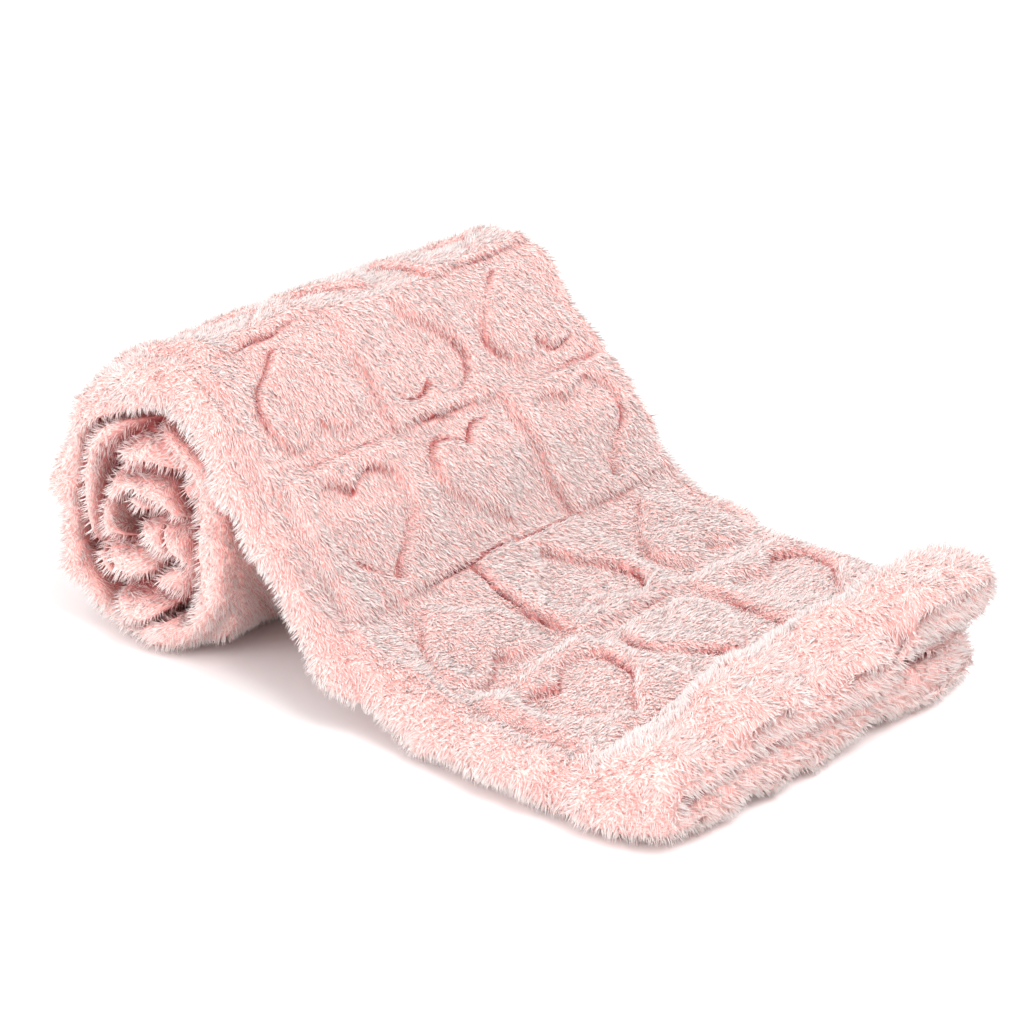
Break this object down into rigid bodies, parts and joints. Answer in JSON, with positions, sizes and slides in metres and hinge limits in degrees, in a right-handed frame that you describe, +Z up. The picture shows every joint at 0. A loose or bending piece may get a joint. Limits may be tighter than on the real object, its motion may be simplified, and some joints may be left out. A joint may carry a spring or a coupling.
{
  "type": "folded and rolled plush fleece baby blanket",
  "caption": "Soft plush fleece baby blanket folded in thirds and rolled from one end, with a flat tail in front and squares and hearts raised in its pile.",
  "frame": {"origin": "middle of the blanket's box, on the surface it rests on", "axes": "+X along the strip from the roll to the front hems, +Y across it to the fold on the far side, +Z up"},
  "size_m": [0.4096, 0.2654, 0.1618],
  "materials": {
    "plush": "soft sheared pile, dusty pink, with squares and hearts raised and sunk"
  },
  "bodies": {
    "root": {"blanket": "plush"}
  },
  "joints": []
}
